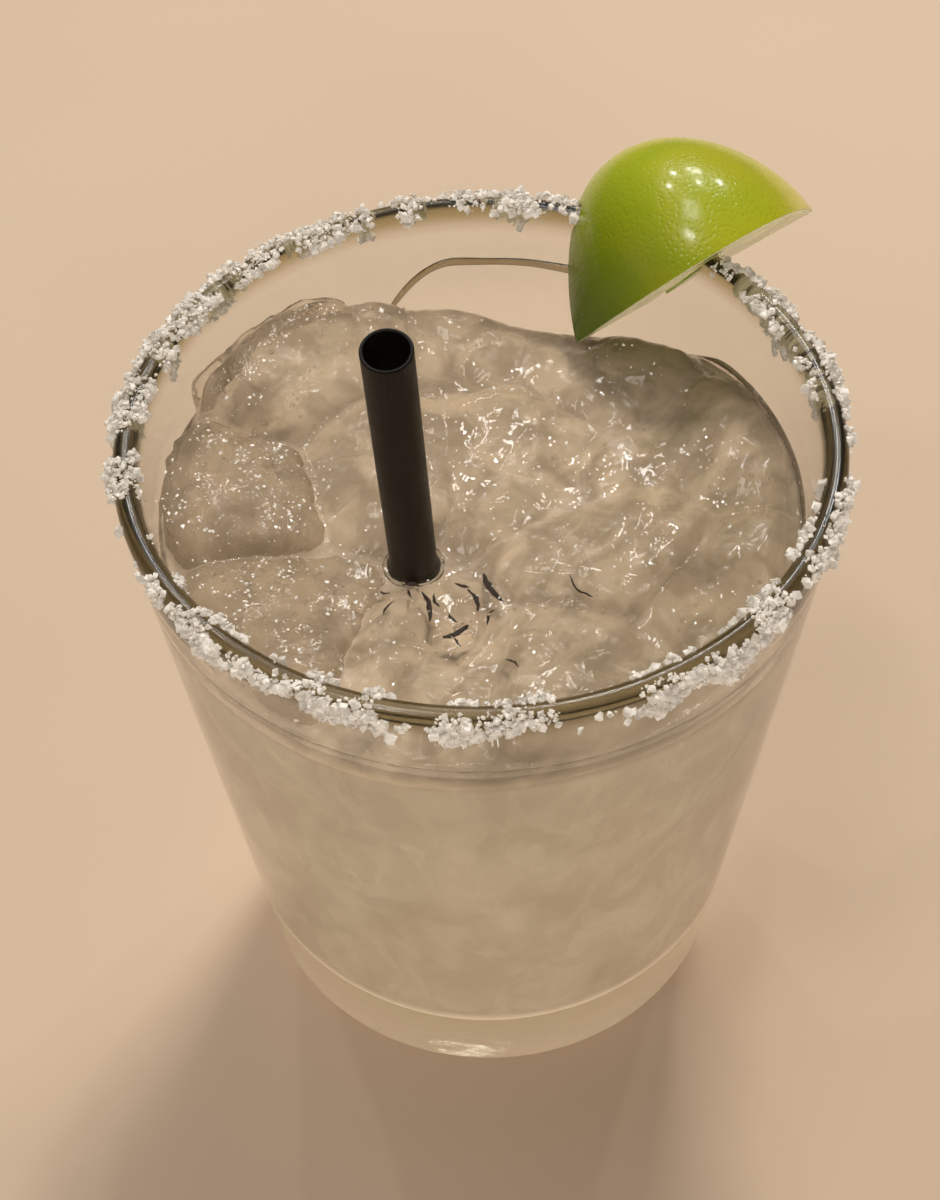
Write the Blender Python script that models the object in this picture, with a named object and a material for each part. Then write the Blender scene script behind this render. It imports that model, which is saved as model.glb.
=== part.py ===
"""Iced lime cocktail in a salt-rimmed tumbler, with a straw and a wedge of lime.

The glass stands on z = 0 with its axis on the z axis. Lengths below are millimetres and
angles are degrees; a mesh gets metres through the factor MM. Seen from the front (-Y), the
straw leans towards the viewer and the lime sits on the rim at the back right.
"""

import math
import random

import bmesh
import bpy
from mathutils import Matrix, Vector

MM = 0.001
CLEARANCE = 0.3  # gap between pieces that touch
UP = Vector((0, 0, 1))

# Tumbler
GLASS_HEIGHT = 96.0
RIM_RADIUS = 44.0
FOOT_RADIUS = 33.4
RIM_WALL = 2.8
FOOT_WALL = 3.6
BASE_THICKNESS = 12.0
HEEL_ROUND = 4.0
WELL_ROUND = 6.0
GLASS_SIDES = 64
TAPER = (RIM_RADIUS - FOOT_RADIUS) / GLASS_HEIGHT

# Drink
DRINK_LEVEL = GLASS_HEIGHT - 13.0
MENISCUS_RISE = 0.9
MENISCUS_WIDTH = 2.6
DIP_LEAN = 44.0  # a sloping dip at the back, where the heap of ice stands clear of the wall
DIP_BEARING = 75.0
DIP_EDGE = Vector((8.15, 30.43, DRINK_LEVEL))

# Straw: a straight tube, from its mouth above the rim down to its foot near the glass floor
STRAW_MOUTH = Vector((-9.3, -19.6, 127.0))
STRAW_AT_LEVEL = Vector((-8.3, -10.4, DRINK_LEVEL))
STRAW_FOOT_HEIGHT = 13.8
STRAW_RADIUS = 2.85
STRAW_BORE_RADIUS = 2.35
STRAW_SIDES = 16

# Lime wedge: a quarter of a fruit, its cut edge down, straddling the rim
LIME_INNER_TIP = Vector((13.0, 25.7, 85.3))
LIME_OUTER_TIP = Vector((46.1, 47.7, 88.1))
LIME_RADIUS = 19.3
LIME_ROLL = -10.0
LIME_SECTOR = 90.0
LIME_INNER_BLUNTNESS = 0.85
LIME_OUTER_BLUNTNESS = 0.95
LIME_RINGS = 17
LIME_ARC_STEPS = 12
SLIT_DEPTH_BELOW_RIM = 30.0

# Ice: half melted cubes jammed side by side. Each row is the middle's x and y, the height of
# the top above the drink, the piece's own height, and the lean and bearing of its top face.
ICE_PIECES = (
    (-30.0, 1.0, 4.4, 20.0, 13.0, 10.0),
    (-25.0, -19.0, 2.8, 18.0, 14.0, 55.0),
    (-26.5, 19.5, 6.2, 22.0, 18.0, 335.0),
    (-4.0, 28.0, 1.8, 18.0, 14.0, 290.0),
    (-14.0, 6.0, 2.2, 17.0, 12.0, 170.0),
    (5.0, 7.0, 1.4, 16.0, 13.0, 330.0),
    (16.0, 23.0, 1.0, 18.0, 9.0, 120.0),
    (31.0, 8.0, 1.6, 19.0, 14.0, 200.0),
    (17.0, -8.0, 1.8, 17.0, 14.0, 100.0),
    (29.5, -17.0, 2.9, 20.0, 14.0, 160.0),
    (12.0, -28.0, 2.0, 18.0, 12.0, 60.0),
    (-6.0, -26.0, 1.6, 19.0, 11.0, 350.0),
)
ICE_SPACING = 1.0  # between neighbours
ICE_FROM_WALL = 1.7
ICE_FROM_STRAW = 1.3
ICE_MERGE = 1.8  # corners closer than this melt into one
ICE_CREASE = 0.5
POCKET_MARGIN = 1.25  # corners move out by more than the clearance, so that flat faces keep it
WALL_FACETS = 24

# Salt on the rim: crystals in clumps, with a few bare stretches (bearings seen from above)
SALT_SEED = 11
SALT_CLUMPS = 84
SALT_CLUMP_SPREAD = 2.6  # degrees either side of a clump's middle
SALT_BARE_ARCS = ((-166.0, -151.0), (-105.0, -98.0), (-79.0, -69.0), (-12.0, -4.0))
SALT_THIN_ARC = (85.0, 185.0)
SALT_RADIUS = (0.75, 1.75)
SALT_PROUD = (0.3, 0.65)  # how far a crystal's middle stands out, in its own radii
SALT_CORNERS = 9
SALT_HANG = 5.0  # furthest below the lip, outside
SALT_INSIDE_HANG = 3.0
SALT_INSIDE_SHARE = 0.2  # of the crystals sit on the glass's inner face
SALT_THIN_SIZE = 0.85  # crystals on the thin stretch, against the others
SALT_CLEAR_OF_LIME = 2.2


def clear_scene():
    for obj in list(bpy.data.objects):
        bpy.data.objects.remove(obj, do_unlink=True)


def finish(name, colour, roughness, transmission=0.0):
    material = bpy.data.materials.new(name)
    material.use_nodes = True
    shader = material.node_tree.nodes["Principled BSDF"]
    shader.inputs["Base Color"].default_value = (*colour, 1.0)
    shader.inputs["Roughness"].default_value = roughness
    shader.inputs["Metallic"].default_value = 0.0
    shader.inputs["Transmission Weight"].default_value = transmission
    return material


def add_object(name, bm, material=None, smooth_angle=35.0):
    """Make a scene object from a bmesh built in millimetres."""
    bmesh.ops.recalc_face_normals(bm, faces=bm.faces)
    bmesh.ops.scale(bm, vec=(MM, MM, MM), verts=bm.verts)
    mesh = bpy.data.meshes.new(name)
    bm.to_mesh(mesh)
    bm.free()
    mesh.shade_smooth()
    mesh.set_sharp_from_angle(angle=math.radians(smooth_angle))
    obj = bpy.data.objects.new(name, mesh)
    bpy.context.scene.collection.objects.link(obj)
    if material:
        mesh.materials.append(material)
    return obj


def arc(centre, radius, start, end, steps):
    """Points (radius, height) on an arc from the start angle to the end angle."""
    points = []
    for step in range(steps + 1):
        angle = math.radians(start + (end - start) * step / steps)
        points.append((centre[0] + radius * math.cos(angle), centre[1] + radius * math.sin(angle)))
    return points


def turn(profile, sides, closed=False):
    """Turn a profile of (radius, height) points about the z axis.

    An open profile starts and ends on the axis. A closed one makes a ring.
    """
    bm = bmesh.new()
    rings = []
    for radius, height in profile:
        if radius == 0:
            rings.append([bm.verts.new((0, 0, height))])
            continue
        angles = [math.tau * side / sides for side in range(sides)]
        rings.append([bm.verts.new((radius * math.cos(a), radius * math.sin(a), height)) for a in angles])
    pairs = list(zip(rings, rings[1:]))
    if closed:
        pairs.append((rings[-1], rings[0]))
    for ring, following in pairs:
        for side in range(sides):
            beside = (side + 1) % sides
            corners = [ring[side % len(ring)], ring[beside % len(ring)]]
            corners += [following[beside % len(following)], following[side % len(following)]]
            bm.faces.new(list(dict.fromkeys(corners)))
    return bm


def outer_radius(height):
    return FOOT_RADIUS + TAPER * height


def inner_radius(height):
    share = (height - BASE_THICKNESS) / (GLASS_HEIGHT - BASE_THICKNESS)
    return outer_radius(height) - FOOT_WALL - (RIM_WALL - FOOT_WALL) * share


def well_profile(inset, top):
    """The hollow of the glass from its wall at the height top down to the axis, drawn inset."""
    lean = math.degrees(math.atan(TAPER))
    corner_height = BASE_THICKNESS + WELL_ROUND
    corner_radius = inner_radius(corner_height) - WELL_ROUND / math.cos(math.radians(lean))
    corner = arc((corner_radius, corner_height), WELL_ROUND - inset, -lean, -90.0, 4)
    return [(inner_radius(top) - inset, top)] + corner + [(0, BASE_THICKNESS + inset)]


def glass_profile():
    """The tumbler's section, from the middle of its underside over the lip to the well's middle."""
    lean = math.degrees(math.atan(TAPER))
    heel_radius = outer_radius(HEEL_ROUND) - HEEL_ROUND / math.cos(math.radians(lean))
    heel = arc((heel_radius, HEEL_ROUND), HEEL_ROUND, -90.0, -lean, 4)
    lip_height = GLASS_HEIGHT - RIM_WALL / 2
    lip = arc((outer_radius(lip_height) - RIM_WALL / 2, lip_height), RIM_WALL / 2, 0.0, 180.0, 6)
    return [(0, 0)] + heel + lip[:-1] + well_profile(0, lip_height)


def lime_frame():
    """The wedge's axis from tip to tip, its sideways direction and its upward direction."""
    along = LIME_OUTER_TIP - LIME_INNER_TIP
    axis = along.normalized()
    side = axis.cross(UP).normalized()
    return along.length, axis, side, side.cross(axis)


def lime_section(station):
    """The fruit's radius at a station from -1, the inner tip, to 1, the outer tip."""
    def bulge(at):
        return (1 + at) ** LIME_INNER_BLUNTNESS * (1 - at) ** LIME_OUTER_BLUNTNESS

    widest = (LIME_INNER_BLUNTNESS - LIME_OUTER_BLUNTNESS) / (LIME_INNER_BLUNTNESS + LIME_OUTER_BLUNTNESS)
    return LIME_RADIUS * bulge(station) / bulge(widest)


def lime_clear_of(point, reach):
    """Whether a point outside the wedge is further than about reach from it."""
    length, axis, side, up = lime_frame()
    offset = point - LIME_INNER_TIP
    along = offset.dot(axis)
    if not -reach < along < length + reach:
        return True
    station = min(max(2 * along / length - 1, -0.999), 0.999)
    across = offset.dot(side)
    above = offset.dot(up)
    if math.hypot(across, above) > lime_section(station) + reach:
        return True
    half = math.radians(LIME_SECTOR / 2)
    from_middle = math.atan2(across, above + reach / math.sin(half)) - math.radians(LIME_ROLL)
    return abs(from_middle) > half


def build_lime(material):
    length, axis, side, up = lime_frame()
    bm = bmesh.new()
    tips = [bm.verts.new(LIME_INNER_TIP), bm.verts.new(LIME_OUTER_TIP)]
    rows = []
    for ring in range(1, LIME_RINGS + 1):
        station = -math.cos(math.pi * ring / (LIME_RINGS + 1))
        middle = LIME_INNER_TIP + axis * length * (station + 1) / 2
        row = [bm.verts.new(middle)]
        for step in range(LIME_ARC_STEPS + 1):
            angle = math.radians(LIME_ROLL + LIME_SECTOR * (step / LIME_ARC_STEPS - 0.5))
            radius = lime_section(station)
            row.append(bm.verts.new(middle + radius * (math.sin(angle) * side + math.cos(angle) * up)))
        rows.append(row)
    count = len(rows[0])
    for row, following in zip(rows, rows[1:]):
        for spot in range(count):
            beside = (spot + 1) % count
            bm.faces.new((row[spot], row[beside], following[beside], following[spot]))
    for tip, row in zip(tips, (rows[0], rows[-1])):
        for spot in range(count):
            bm.faces.new((tip, row[spot], row[(spot + 1) % count]))
    lime = add_object("lime_wedge", bm, material)
    cut(lime, [rim_cutter()])
    return lime


def rim_cutter():
    """The wall of the glass with clearance all round, which opens the slit in the lime."""
    low = GLASS_HEIGHT - SLIT_DEPTH_BELOW_RIM
    lip_height = GLASS_HEIGHT - RIM_WALL / 2
    lip_radius = RIM_WALL / 2 + CLEARANCE
    lip = arc((outer_radius(lip_height) - RIM_WALL / 2, lip_height), lip_radius, 0.0, 180.0, 6)
    foot = [(inner_radius(low) - CLEARANCE, low), (outer_radius(low) + CLEARANCE, low)]
    return add_object("rim_cutter", turn(lip + foot, GLASS_SIDES, closed=True))


def keep_main_body(obj):
    """Drop loose scraps and fill sealed hollows: only the largest connected shell stays."""
    bm = bmesh.new()
    bm.from_mesh(obj.data)
    bm.faces.ensure_lookup_table()
    waiting = set(bm.faces)
    shells = []
    while waiting:
        shell = [waiting.pop()]
        for face in shell:
            for edge in face.edges:
                for neighbour in edge.link_faces:
                    if neighbour in waiting:
                        waiting.remove(neighbour)
                        shell.append(neighbour)
        shells.append(shell)
    shells.sort(key=lambda shell: sum(face.calc_area() for face in shell))
    scraps = [face for shell in shells[:-1] for face in shell]
    bmesh.ops.delete(bm, geom=scraps, context="FACES")
    bm.to_mesh(obj.data)
    bm.free()


def combine(obj, others, operation, solver="EXACT"):
    """Apply one Boolean with a collection of the others, and remove them."""
    group = bpy.data.collections.new(obj.name + "_operands")
    for other in others:
        group.objects.link(other)
    boolean = obj.modifiers.new("combine", "BOOLEAN")
    boolean.operand_type = "COLLECTION"
    boolean.collection = group
    boolean.operation = operation
    boolean.solver = solver
    depsgraph = bpy.context.evaluated_depsgraph_get()
    result = bpy.data.meshes.new_from_object(obj.evaluated_get(depsgraph))
    obj.modifiers.remove(boolean)
    obj.data = result
    for other in others:
        bpy.data.objects.remove(other, do_unlink=True)
    bpy.data.collections.remove(group)
    keep_main_body(obj)
    obj.data.shade_smooth()
    obj.data.set_sharp_from_angle(angle=math.radians(35.0))


def cut(obj, cutters):
    combine(obj, cutters, "DIFFERENCE")


def slice_off(bm, point, normal):
    """Cut away what lies beyond a plane and close the cut."""
    everything = bm.verts[:] + bm.edges[:] + bm.faces[:]
    cut_through = bmesh.ops.bisect_plane(
        bm, geom=everything, plane_co=point, plane_no=normal, clear_outer=True, dist=1e-4
    )
    rim = [part for part in cut_through["geom_cut"] if isinstance(part, bmesh.types.BMEdge)]
    if rim:
        bmesh.ops.contextual_create(bm, geom=rim)


def leaning(lean, bearing):
    """A unit vector that leans from the vertical towards a bearing."""
    tilt = math.radians(lean)
    turn_by = math.radians(bearing)
    flat = Vector((math.cos(turn_by), math.sin(turn_by), 0))
    return math.cos(tilt) * UP + math.sin(tilt) * flat


def build_ice(material):
    """Cells between the pieces' middles, cut flat where they face a neighbour, then rounded."""
    axis = (STRAW_MOUTH - STRAW_AT_LEVEL).normalized()
    middles = [Vector((x, y, DRINK_LEVEL + top - height / 2)) for x, y, top, height, _, _ in ICE_PIECES]
    pieces = []
    for number, (middle, piece) in enumerate(zip(middles, ICE_PIECES), start=1):
        top, height, lean, bearing = piece[2:]
        bm = bmesh.new()
        bmesh.ops.create_cube(bm, size=3 * height, matrix=Matrix.Translation(middle))
        tilted = leaning(lean, bearing)
        slice_off(bm, middle + UP * height / 2, tilted)
        slice_off(bm, middle - UP * height / 2, -leaning(lean / 2, bearing + 90))
        for other in middles:
            if other != middle:
                towards = (other - middle).normalized()
                slice_off(bm, (middle + other) / 2 - towards * ICE_SPACING / 2, towards)
        for facet in range(WALL_FACETS):
            bearing_out = math.tau * facet / WALL_FACETS
            outward = Vector((math.cos(bearing_out), math.sin(bearing_out), -TAPER)).normalized()
            reach = inner_radius(middle.z) - ICE_FROM_WALL
            slice_off(bm, Vector((reach * outward.x, reach * outward.y, middle.z)), outward)
        slice_off(bm, DIP_EDGE, leaning(DIP_LEAN, DIP_BEARING))
        straw_here = STRAW_AT_LEVEL + axis * (middle - STRAW_AT_LEVEL).dot(axis)
        aside = (straw_here - middle).normalized()
        slice_off(bm, straw_here - aside * (STRAW_RADIUS + ICE_FROM_STRAW), aside)
        bmesh.ops.remove_doubles(bm, verts=bm.verts, dist=ICE_MERGE)
        crease = bm.edges.layers.float.new("crease_edge")
        for edge in bm.edges:
            edge[crease] = ICE_CREASE
        ice = add_object(f"ice_{number:02d}", bm, material, smooth_angle=50.0)
        rounding = ice.modifiers.new("melted corners", "SUBSURF")
        rounding.levels = 1
        rounding.render_levels = 1
        pieces.append(ice)
    return pieces


def pocket(obj):
    """A cutter that holds an object with clearance all round: the hull of its swollen mesh."""
    depsgraph = bpy.context.evaluated_depsgraph_get()
    evaluated = obj.evaluated_get(depsgraph)
    bm = bmesh.new()
    for vert in evaluated.to_mesh().vertices:
        bm.verts.new(vert.co / MM + vert.normal * CLEARANCE * POCKET_MARGIN)
    evaluated.to_mesh_clear()
    hull = bmesh.ops.convex_hull(bm, input=bm.verts)
    inside = {part for part in hull["geom_interior"] if isinstance(part, bmesh.types.BMVert)}
    bmesh.ops.delete(bm, geom=list(inside), context="VERTS")
    return add_object(obj.name + "_pocket", bm)


def straw_tube(name, outer, bore, foot_height, mouth, material=None):
    """A tube along the straw's axis between two heights, both measured on that axis."""
    axis = (STRAW_MOUTH - STRAW_AT_LEVEL).normalized()
    foot = STRAW_AT_LEVEL + axis * (foot_height - DRINK_LEVEL) / axis.z
    length = (mouth - foot_height) / axis.z
    section = [(outer, 0), (outer, length), (bore, length), (bore, 0)]
    bm = turn(section, STRAW_SIDES, closed=True)
    placed = Matrix.Translation(foot) @ UP.rotation_difference(axis).to_matrix().to_4x4()
    bmesh.ops.transform(bm, matrix=placed, verts=bm.verts)
    return add_object(name, bm, material)


def build_straw(material):
    return straw_tube("straw", STRAW_RADIUS, STRAW_BORE_RADIUS, STRAW_FOOT_HEIGHT, STRAW_MOUTH.z, material)


def dip_cutter():
    """A block that lies on the slope of the dip at the back."""
    way = leaning(DIP_LEAN, DIP_BEARING)
    size = 2 * RIM_RADIUS
    placed = Matrix.Translation(DIP_EDGE + way * size / 2) @ UP.rotation_difference(way).to_matrix().to_4x4()
    bm = bmesh.new()
    bmesh.ops.create_cube(bm, size=size, matrix=placed)
    return add_object("dip_cutter", bm)


def build_drink(material, ice):
    """What the glass holds up to the level, with pockets for the ice and a sleeve for the straw."""
    wall = well_profile(CLEARANCE, DRINK_LEVEL)
    edge = wall[0][0]
    surface = [
        (0, DRINK_LEVEL),
        (edge - MENISCUS_WIDTH, DRINK_LEVEL),
        (edge - MENISCUS_WIDTH / 3, DRINK_LEVEL + MENISCUS_RISE / 4),
        (inner_radius(DRINK_LEVEL + MENISCUS_RISE) - CLEARANCE, DRINK_LEVEL + MENISCUS_RISE),
    ]
    drink = add_object("drink", turn(surface + wall[1:], GLASS_SIDES), material)
    cutters = [pocket(piece) for piece in ice] + [dip_cutter()]
    sleeve = (STRAW_RADIUS + CLEARANCE, STRAW_BORE_RADIUS - CLEARANCE)
    above = DRINK_LEVEL + 2 * MENISCUS_RISE
    cutters.append(straw_tube("straw_cutter", *sleeve, STRAW_FOOT_HEIGHT - CLEARANCE, above))
    cut(drink, cutters)
    return drink


def on_rim(bearing, along):
    """A point on the glass and the direction out of it.

    along is the distance from the top of the lip: positive down the outside, negative inside.
    """
    lip_radius = RIM_WALL / 2
    lip_height = GLASS_HEIGHT - lip_radius
    lip_middle = outer_radius(lip_height) - lip_radius
    quarter = lip_radius * math.pi / 2
    if abs(along) < quarter:
        angle = along / lip_radius
        radius = lip_middle + lip_radius * math.sin(angle)
        height = lip_height + lip_radius * math.cos(angle)
        out_flat, out_up = math.sin(angle), math.cos(angle)
    else:
        height = lip_height - (abs(along) - quarter)
        radius = outer_radius(height) if along > 0 else inner_radius(height)
        out_flat, out_up = math.copysign(1.0, along), 0.0
    angle = math.radians(bearing)
    flat = Vector((math.cos(angle), math.sin(angle), 0))
    return radius * flat + height * UP, out_flat * flat + out_up * UP


def salt_is_thin(bearing):
    low, high = SALT_THIN_ARC
    return low < bearing % 360.0 < high


def bare(bearing):
    around = (bearing + 180.0) % 360.0 - 180.0
    return any(low < around < high for low, high in SALT_BARE_ARCS)


def crystal(name, centre, radius, draw):
    """One salt crystal: the hull of a few points scattered over a squashed ball."""
    squash = [draw.uniform(0.75, 1.15) for _ in range(3)]
    bm = bmesh.new()
    for _ in range(SALT_CORNERS):
        way = Vector([draw.gauss(0, 1) for _ in range(3)]).normalized()
        bm.verts.new(centre + radius * Vector([scale * part for scale, part in zip(squash, way)]))
    hull = bmesh.ops.convex_hull(bm, input=bm.verts)
    inside = {part for part in hull["geom_interior"] if isinstance(part, bmesh.types.BMVert)}
    bmesh.ops.delete(bm, geom=list(inside), context="VERTS")
    return add_object(name, bm)


def salt_crystals():
    """Clumps spread round the lip, each a few crystals that lie close together."""
    draw = random.Random(SALT_SEED)
    crystals = []
    for clump in range(SALT_CLUMPS):
        middle = 360.0 * (clump + draw.uniform(-0.4, 0.4)) / SALT_CLUMPS - 180.0
        thin = salt_is_thin(middle)
        count = draw.choice((1, 2)) if thin else draw.choice((2, 3, 3, 4))
        lowest = draw.uniform(0.3, 1.0) * (SALT_HANG / 2 if thin else SALT_HANG)
        for _ in range(count):
            bearing = middle + draw.uniform(-SALT_CLUMP_SPREAD, SALT_CLUMP_SPREAD)
            along = draw.uniform(-SALT_INSIDE_HANG / 2, lowest)
            if draw.random() < SALT_INSIDE_SHARE:
                along = -draw.uniform(0.5, 1.0) * SALT_INSIDE_HANG
            radius = draw.uniform(*SALT_RADIUS) * (SALT_THIN_SIZE if thin else 1.0)
            point, outward = on_rim(bearing, along)
            centre = point + outward * radius * draw.uniform(*SALT_PROUD)
            if bare(bearing) or not lime_clear_of(centre, radius + SALT_CLEAR_OF_LIME):
                continue
            crystals.append(crystal(f"salt_{len(crystals)}", centre, radius, draw))
    return crystals


def build_glass(material):
    glass = add_object("glass", turn(glass_profile(), GLASS_SIDES), material)
    combine(glass, salt_crystals(), "UNION")
    return glass


def main():
    clear_scene()
    clear_glass = finish("clear glass", (0.86, 0.88, 0.84), 0.05, transmission=0.9)
    cloudy_drink = finish("cloudy drink", (0.62, 0.52, 0.36), 0.08, transmission=0.5)
    wet_ice = finish("wet ice", (0.72, 0.66, 0.55), 0.12, transmission=0.7)
    black_plastic = finish("black plastic", (0.012, 0.008, 0.006), 0.45)
    lime_peel = finish("lime peel", (0.36, 0.37, 0.02), 0.28)
    build_glass(clear_glass)
    build_straw(black_plastic)
    build_lime(lime_peel)
    build_drink(cloudy_drink, build_ice(wet_ice))


main()
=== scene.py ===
import math
import random

import bmesh
import bpy
import numpy as np
from mathutils import Matrix, Vector, noise
from mathutils.bvhtree import BVHTree


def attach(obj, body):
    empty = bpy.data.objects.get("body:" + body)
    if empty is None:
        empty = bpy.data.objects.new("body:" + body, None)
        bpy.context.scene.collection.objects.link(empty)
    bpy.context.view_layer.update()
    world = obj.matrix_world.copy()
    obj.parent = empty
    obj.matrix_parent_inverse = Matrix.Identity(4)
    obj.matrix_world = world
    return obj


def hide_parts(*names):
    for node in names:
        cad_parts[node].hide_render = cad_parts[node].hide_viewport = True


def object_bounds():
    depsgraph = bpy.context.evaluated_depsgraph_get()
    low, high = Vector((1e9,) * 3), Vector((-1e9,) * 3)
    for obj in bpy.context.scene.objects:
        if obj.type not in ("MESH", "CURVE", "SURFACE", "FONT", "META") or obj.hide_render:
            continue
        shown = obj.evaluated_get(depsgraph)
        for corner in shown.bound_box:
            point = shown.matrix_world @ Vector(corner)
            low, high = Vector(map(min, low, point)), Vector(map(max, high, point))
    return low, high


# An iced lime drink in a salted tumbler, which stands on z = 0 with its axis on the z axis.
# Lengths are millimetres and angles degrees. A mesh gets metres through mm, and a shader's
# Object coordinates are metres, so their ranges are named ...Metres.
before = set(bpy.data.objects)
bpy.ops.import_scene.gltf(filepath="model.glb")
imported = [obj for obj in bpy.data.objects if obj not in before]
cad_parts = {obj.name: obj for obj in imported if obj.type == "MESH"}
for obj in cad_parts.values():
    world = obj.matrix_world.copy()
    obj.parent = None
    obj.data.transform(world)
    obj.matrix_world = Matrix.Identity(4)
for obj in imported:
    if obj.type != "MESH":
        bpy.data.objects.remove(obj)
cadBounds = [list(corner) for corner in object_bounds()]
mm = 0.001
up = Vector((0, 0, 1))
print("frame loaded:", len(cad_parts), "nodes")


# Shader sums

class Wire:  # a shader socket that can stand in an expression
    def __init__(self, tree, socket):
        self.tree = tree
        self.socket = socket

    def node(self, kind, settings=None, inputs=None, output=0):
        made = self.tree.nodes.new("ShaderNode" + kind)
        for name, value in (settings or {}).items():
            setattr(made, name, value)
        for name, value in (inputs or {}).items():
            if isinstance(value, Wire):
                self.tree.links.new(value.socket, made.inputs[name])
            else:
                made.inputs[name].default_value = value
        return Wire(self.tree, made.outputs[output])

    def maths(self, operation, first, second=0.0):
        return self.node("Math", {"operation": operation}, {0: first, 1: second})

    def __abs__(self):
        return self.maths("ABSOLUTE", self)

    def __add__(self, other):
        return self.maths("ADD", self, other)

    __radd__ = __add__

    def __sub__(self, other):
        return self.maths("SUBTRACT", self, other)

    def __rsub__(self, other):
        return self.maths("SUBTRACT", other, self)

    def __mul__(self, other):
        return self.maths("MULTIPLY", self, other)

    __rmul__ = __mul__

    def between(self, low, high):  # 0 below low, 1 above high, eased in between
        rising = {"Value": self, "From Min": low, "From Max": high}
        return self.node("MapRange", {"interpolation_type": "SMOOTHSTEP"}, rising)

    def stretched(self, x, y, z):
        return self.node("VectorMath", {"operation": "MULTIPLY"}, {0: self, 1: (x, y, z)})

    def axis(self, letter):
        return self.node("SeparateXYZ", None, {0: self}, letter)

    def cloud(self, scale, detail=3.0, roughness=0.5, distortion=0.0):
        grain = {"Vector": self, "Scale": scale, "Detail": detail}
        grain |= {"Roughness": roughness, "Distortion": distortion}
        return self.node("TexNoise", None, grain, "Fac")

    def cells(self, scale):
        return self.node("TexVoronoi", None, {"Vector": self, "Scale": scale}, "Distance")

    def mixed(self, first, second):  # this wire is the share of the second colour
        return self.node("Mix", {"data_type": "RGBA"}, {0: self, 6: first, 7: second}, 2)

    def bump(self, strength, height=0.0002):
        return self.node("Bump", None, {"Height": self, "Strength": strength, "Distance": height})


def tone(red, green, blue):  # screen values 0 to 255 as a linear colour
    shares = [value / 255 for value in (red, green, blue)]
    return (*[s / 12.92 if s <= 0.04045 else ((s + 0.055) / 1.055) ** 2.4 for s in shares], 1.0)


clearWater = {"IOR": 1.34, "Roughness": 0.02, "Transmission_Weight": 1.0}


def newMaterial(name, **values):  # values are named after the shader's sockets, with _ for a space
    material = bpy.data.materials.new(name)
    material.use_nodes = True
    tree = material.node_tree
    shader = tree.nodes["Principled BSDF"]
    for label, value in values.items():
        shader.inputs[label.replace("_", " ")].default_value = value
    place = Wire(tree, tree.nodes.new("ShaderNodeTexCoord").outputs["Object"])
    return material, shader, place


def feed(shader, **wires):
    for label, wire in wires.items():
        wire.tree.links.new(wire.socket, shader.inputs[label.replace("_", " ")])


def absorb(material, colour, density):
    tree = material.node_tree
    volume = tree.nodes.new("ShaderNodeVolumeAbsorption")
    volume.inputs["Color"].default_value = colour
    volume.inputs["Density"].default_value = density
    tree.links.new(volume.outputs["Volume"], tree.nodes["Material Output"].inputs["Volume"])


# Helpers for numbers and meshes

def limited(value):
    return max(0.0, min(1.0, value))


def inScene(name, data):
    obj = bpy.data.objects.new(name, data)
    bpy.context.scene.collection.objects.link(obj)
    return obj


def addMesh(name, points, faces, material, smooth=True):
    mesh = bpy.data.meshes.new(name)
    mesh.from_pydata([tuple(mm * value for value in point) for point in points], [], faces)
    mesh.validate()
    bm = bmesh.new()
    bm.from_mesh(mesh)
    bmesh.ops.recalc_face_normals(bm, faces=bm.faces)
    bm.to_mesh(mesh)
    bm.free()
    if smooth:
        mesh.shade_smooth()
    mesh.materials.append(material)
    return inScene(name, mesh)


def joined(rings):  # the faces between rings of point numbers, one of which may be a single point
    faces = []
    for ring, following in zip(rings, rings[1:]):
        for spot in range(max(len(ring), len(following))):
            corners = [ring[spot % len(ring)], ring[(spot + 1) % len(ring)]]
            corners += [following[(spot + 1) % len(following)], following[spot % len(following)]]
            faces.append(tuple(dict.fromkeys(corners)))
    return faces


def tubeFaces(first, count, around):  # skin and end caps of a tube whose points start at first
    rings = [range(first + ring * around, first + (ring + 1) * around) for ring in range(count)]
    return joined(rings) + [tuple(rings[0]), tuple(rings[-1])[::-1]]


def turned(profile, sides, closed=False, wobble=None):  # (radius, height) points round the z axis
    points, rings = [], []
    for radius, height in profile:
        if radius == 0:
            rings.append([len(points)])
            points.append((0, 0, height))
            continue
        rings.append(range(len(points), len(points) + sides))
        for side in range(sides):
            angle = math.tau * side / sides
            reach = radius + (wobble(angle, radius, height) if wobble else 0)
            points.append((reach * math.cos(angle), reach * math.sin(angle), height))
    return points, joined(rings + rings[:1] if closed else rings)


def arc(centre, radius, start, end, steps):
    angles = [math.radians(start + (end - start) * step / steps) for step in range(steps + 1)]
    return [(centre[0] + radius * math.cos(a), centre[1] + radius * math.sin(a)) for a in angles]


def straight(start, end, steps):  # points between two (radius, height) points, without the last
    pairs = [(step / steps, 1 - step / steps) for step in range(steps)]
    return [(start[0] * b + end[0] * a, start[1] * b + end[1] * a) for a, b in pairs]


def applyModifiers(obj):
    graph = bpy.context.evaluated_depsgraph_get()
    mesh = bpy.data.meshes.new_from_object(obj.evaluated_get(graph))
    obj.modifiers.clear()
    obj.data = mesh


def pushOut(obj, offset):  # moves each point along its normal by offset(point), in millimetres
    vertices = obj.data.vertices
    places = np.empty(len(vertices) * 3)
    normals = np.empty(len(vertices) * 3)
    vertices.foreach_get("co", places)
    vertices.foreach_get("normal", normals)
    places = places.reshape(-1, 3) / mm
    moves = np.array([[offset(Vector(place))] for place in places])
    vertices.foreach_set("co", ((places + normals.reshape(-1, 3) * moves) * mm).ravel())
    obj.data.update()


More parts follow.
